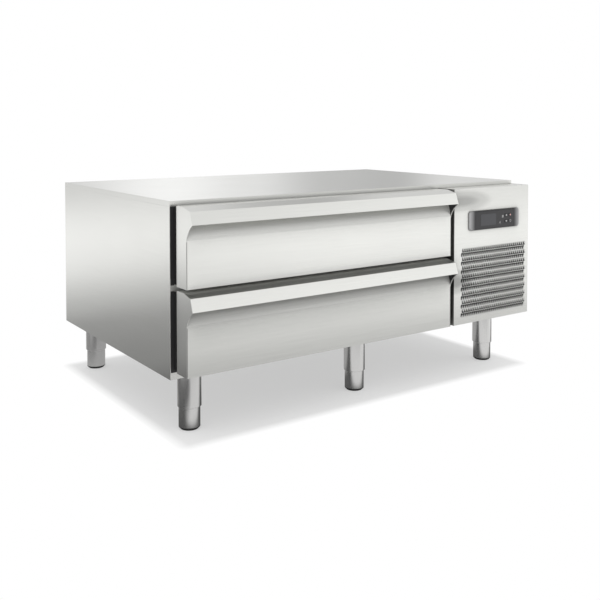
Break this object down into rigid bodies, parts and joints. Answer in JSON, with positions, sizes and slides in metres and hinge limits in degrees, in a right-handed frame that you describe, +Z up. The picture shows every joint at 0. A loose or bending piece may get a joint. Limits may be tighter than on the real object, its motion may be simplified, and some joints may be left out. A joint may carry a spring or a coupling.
{
  "type": "chef base freezer",
  "caption": "Low brushed-steel chef base freezer: flat worktop, wide stacked drawers with lip handles, a side panel with display and punched vents, round adjustable legs.",
  "frame": {"origin": "on the floor, below the middle of the overall box", "axes": "+X along the width towards the vented side, +Y from the drawer fronts to the back, +Z up"},
  "size_m": [1.2, 0.839, 0.573],
  "materials": {
    "brushed_stainless": "fine brushed",
    "galvanised_steel": "galvanised sheet, dull",
    "zinc_plated_steel": "bright zinc",
    "liner_steel": "smooth satin",
    "core_board": "raw board",
    "foam": "rigid foam, matt",
    "black_plastic": "fine grain",
    "black_rubber": "matt",
    "silver_bezel": "satin silver",
    "dark_window": "glossy tinted",
    "key_plastic": "soft satin",
    "coil_aluminium": "thin fins",
    "motor_steel": "dark grey",
    "compressor_paint": "black semi-gloss",
    "copper_pipe": "drawn copper",
    "white_plastic": "smooth",
    "grey_plastic": "smooth"
  },
  "bodies": {
    "cabinet": {"back_panel": "galvanised_steel", "back_panel_screws": "zinc_plated_steel", "base_panel": "galvanised_steel", "breaker_frame": "black_plastic", "cable_gland": "black_plastic", "compressor": "compressor_paint", "compressor_mounts": "black_rubber", "condenser_coil": "coil_aluminium", "condenser_fan_motor": "motor_steel", "controller_bezel": "silver_bezel", "display_window": "dark_window", "electrical_box": "grey_plastic", "evaporation_tray": "grey_plastic", "evaporator_coil": "coil_aluminium", "evaporator_cover": "white_plastic", "evaporator_fan_motor": "motor_steel", "fan_shroud": "galvanised_steel", "filter_drier": "copper_pipe", "inner_liner": "liner_steel", "insulation_foam": "foam", "leg_tubes": "brushed_stainless", "mullion_rail": "brushed_stainless", "partition_panel": "foam", "refrigerant_pipes": "copper_pipe", "runner_outer_members": "zinc_plated_steel", "side_panel_left": "brushed_stainless", "side_panel_right": "brushed_stainless", "technical_front": "brushed_stainless", "unit_tray": "galvanised_steel", "worktop": "brushed_stainless", "worktop_board": "core_board"},
    "upper_drawer": {"upper_drawer_skin": "brushed_stainless", "upper_drawer_foam": "foam", "upper_handle_caps": "black_plastic", "upper_inner_panel": "liner_steel", "upper_gasket": "black_rubber", "upper_drawer_tub": "liner_steel", "upper_runner_inner": "zinc_plated_steel"},
    "upper_intermediate": {"upper_runner_intermediate": "zinc_plated_steel"},
    "lower_drawer": {"lower_drawer_skin": "brushed_stainless", "lower_drawer_foam": "foam", "lower_handle_caps": "black_plastic", "lower_inner_panel": "liner_steel", "lower_gasket": "black_rubber", "lower_drawer_tub": "liner_steel", "lower_runner_inner": "zinc_plated_steel"},
    "lower_intermediate": {"lower_runner_intermediate": "zinc_plated_steel"},
    "condenser_rotor": {"condenser_fan": "grey_plastic"},
    "evaporator_rotor": {"evaporator_fan": "grey_plastic"},
    "foot_front_left": {"foot_front_left": "brushed_stainless"},
    "foot_front_middle": {"foot_front_middle": "brushed_stainless"},
    "foot_front_right": {"foot_front_right": "brushed_stainless"},
    "foot_back_left": {"foot_back_left": "brushed_stainless"},
    "foot_back_middle": {"foot_back_middle": "brushed_stainless"},
    "foot_back_right": {"foot_back_right": "brushed_stainless"},
    "key_top_left": {"key_top_left": "key_plastic"},
    "key_top_right": {"key_top_right": "key_plastic"},
    "key_bottom_left": {"key_bottom_left": "key_plastic"},
    "key_bottom_right": {"key_bottom_right": "key_plastic"}
  },
  "joints": [
    {"name": "upper_drawer_slide", "type": "slide", "parent": "cabinet", "child": "upper_drawer", "axis": [0, -1, 0], "range_m": [0, 0.5]},
    {"name": "upper_intermediate_slide", "type": "slide", "parent": "cabinet", "child": "upper_intermediate", "axis": [0, -1, 0], "range_m": [0, 0.25]},
    {"name": "lower_drawer_slide", "type": "slide", "parent": "cabinet", "child": "lower_drawer", "axis": [0, -1, 0], "range_m": [0, 0.5]},
    {"name": "lower_intermediate_slide", "type": "slide", "parent": "cabinet", "child": "lower_intermediate", "axis": [0, -1, 0], "range_m": [0, 0.25]},
    {"name": "condenser_fan_spin", "type": "hinge", "parent": "cabinet", "child": "condenser_rotor", "pos_m": [0.4365, -0.2045, 0.2587], "axis": [0, 1, 0], "continuous": true},
    {"name": "evaporator_fan_spin", "type": "hinge", "parent": "cabinet", "child": "evaporator_rotor", "pos_m": [0.056, 0.2675, 0.355], "axis": [0, 1, 0], "continuous": true},
    {"name": "foot_front_left_thread", "type": "slide", "parent": "cabinet", "child": "foot_front_left", "axis": [0, 0, -1], "range_m": [0, 0.05]},
    {"name": "foot_front_middle_thread", "type": "slide", "parent": "cabinet", "child": "foot_front_middle", "axis": [0, 0, -1], "range_m": [0, 0.05]},
    {"name": "foot_front_right_thread", "type": "slide", "parent": "cabinet", "child": "foot_front_right", "axis": [0, 0, -1], "range_m": [0, 0.05]},
    {"name": "foot_back_left_thread", "type": "slide", "parent": "cabinet", "child": "foot_back_left", "axis": [0, 0, -1], "range_m": [0, 0.05]},
    {"name": "foot_back_middle_thread", "type": "slide", "parent": "cabinet", "child": "foot_back_middle", "axis": [0, 0, -1], "range_m": [0, 0.05]},
    {"name": "foot_back_right_thread", "type": "slide", "parent": "cabinet", "child": "foot_back_right", "axis": [0, 0, -1], "range_m": [0, 0.05]},
    {"name": "key_top_left_press", "type": "slide", "parent": "cabinet", "child": "key_top_left", "axis": [0, 1, 0], "range_m": [0, 0.001], "stiffness_N_per_m": 600, "springref_m": -0.0005},
    {"name": "key_top_right_press", "type": "slide", "parent": "cabinet", "child": "key_top_right", "axis": [0, 1, 0], "range_m": [0, 0.001], "stiffness_N_per_m": 600, "springref_m": -0.0005},
    {"name": "key_bottom_left_press", "type": "slide", "parent": "cabinet", "child": "key_bottom_left", "axis": [0, 1, 0], "range_m": [0, 0.001], "stiffness_N_per_m": 600, "springref_m": -0.0005},
    {"name": "key_bottom_right_press", "type": "slide", "parent": "cabinet", "child": "key_bottom_right", "axis": [0, 1, 0], "range_m": [0, 0.001], "stiffness_N_per_m": 600, "springref_m": -0.0005}
  ],
  "couplings": [
    {"joint": "upper_intermediate_slide", "follows": "upper_drawer_slide", "ratio": 0.5},
    {"joint": "lower_intermediate_slide", "follows": "lower_drawer_slide", "ratio": 0.5}
  ]
}
